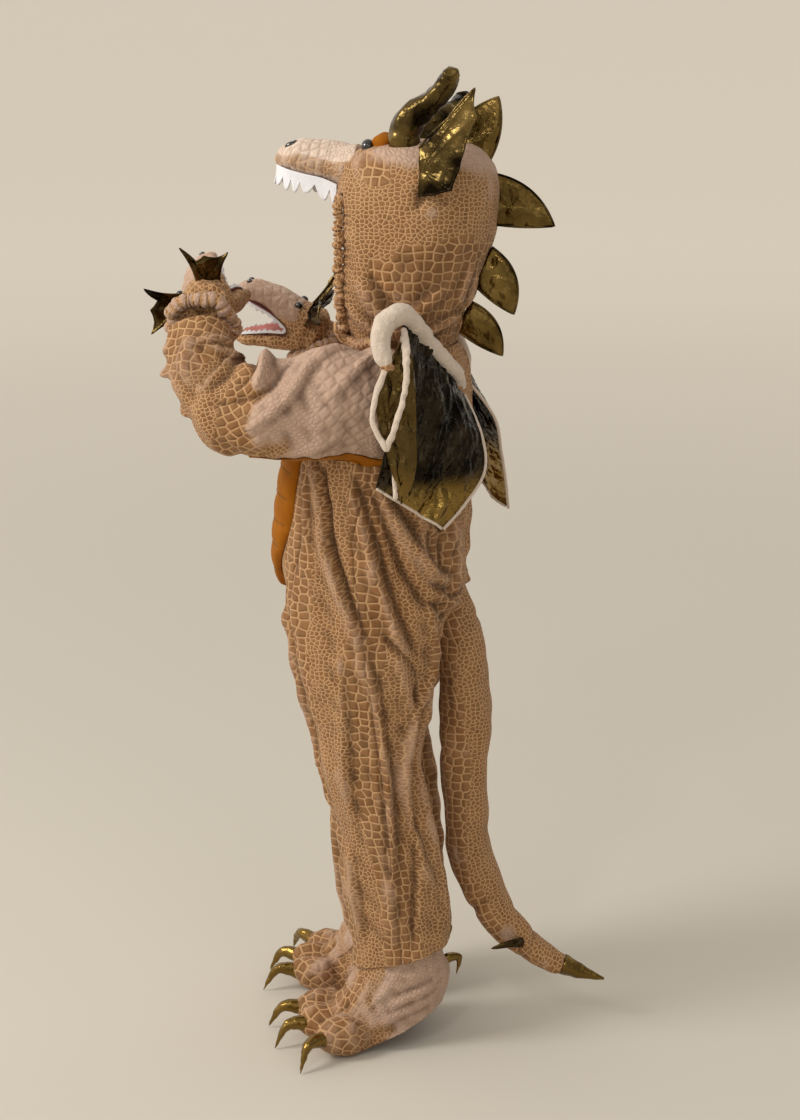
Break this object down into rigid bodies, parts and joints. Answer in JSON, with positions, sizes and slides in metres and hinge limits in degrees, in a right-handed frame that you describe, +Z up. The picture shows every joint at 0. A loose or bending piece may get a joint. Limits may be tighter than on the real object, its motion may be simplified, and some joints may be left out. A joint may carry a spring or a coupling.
{
  "type": "dragon costume",
  "caption": "Child's hooded dragon jumpsuit with stuffed snout, horns, ears, back spikes and tail, hand puppet heads, folded wings and clawed shoe covers, worn with the arms raised.",
  "frame": {"origin": "middle of the neck base, where the wearer's shoulders carry the suit", "axes": "+Z up the body, the wearer faces -Y, +X to the wearer's left"},
  "size_m": [0.4108, 0.5606, 1.2029],
  "materials": {
    "scale_plush": "short plush printed with tan scales on cream",
    "nap_plush": "cream plush with embossed scales",
    "orange_velour": "orange brown velour",
    "gold_lame": "dark gold crinkled metallic cloth",
    "white_felt": "matte white felt",
    "mouth_cloth": "pink cloth",
    "eye_gloss": "glossy black"
  },
  "bodies": {
    "root": {"suit_front_left": "scale_plush", "suit_front_right": "scale_plush", "suit_back_left": "scale_plush", "suit_back_right": "scale_plush", "sleeve_left": "scale_plush", "sleeve_right": "scale_plush", "hood_left": "scale_plush", "hood_right": "scale_plush", "face_casing": "scale_plush", "tail": "scale_plush", "puppet_head_left": "scale_plush", "puppet_head_right": "scale_plush", "snout": "nap_plush", "collar_roll": "nap_plush", "wing_arm_left": "nap_plush", "wing_arm_right": "nap_plush", "wing_ribs_left": "nap_plush", "wing_ribs_right": "nap_plush", "puppet_cuff_left": "nap_plush", "puppet_cuff_right": "nap_plush", "shoe_cover_left": "nap_plush", "shoe_cover_right": "nap_plush", "belly_panel": "orange_velour", "brow_left": "orange_velour", "brow_right": "orange_velour", "gusset_left": "orange_velour", "gusset_right": "orange_velour", "horn_left": "gold_lame", "horn_right": "gold_lame", "ear_left": "gold_lame", "ear_right": "gold_lame", "spike_crown": "gold_lame", "spike_upper": "gold_lame", "spike_middle": "gold_lame", "spike_lower": "gold_lame", "tail_tip": "gold_lame", "tail_spur_left": "gold_lame", "tail_spur_right": "gold_lame", "wing_fold_left": "gold_lame", "wing_fold_right": "gold_lame", "wing_membrane_left": "gold_lame", "wing_membrane_right": "gold_lame", "puppet_ear_left_inner": "gold_lame", "puppet_ear_left_outer": "gold_lame", "puppet_ear_right_inner": "gold_lame", "puppet_ear_right_outer": "gold_lame", "claw_outer_left": "gold_lame", "claw_middle_left": "gold_lame", "claw_inner_left": "gold_lame", "claw_heel_left": "gold_lame", "claw_outer_right": "gold_lame", "claw_middle_right": "gold_lame", "claw_inner_right": "gold_lame", "claw_heel_right": "gold_lame", "snout_teeth": "white_felt", "puppet_mouth_left": "mouth_cloth", "puppet_mouth_right": "mouth_cloth", "eye_left": "eye_gloss", "eye_right": "eye_gloss"}
  },
  "joints": []
}
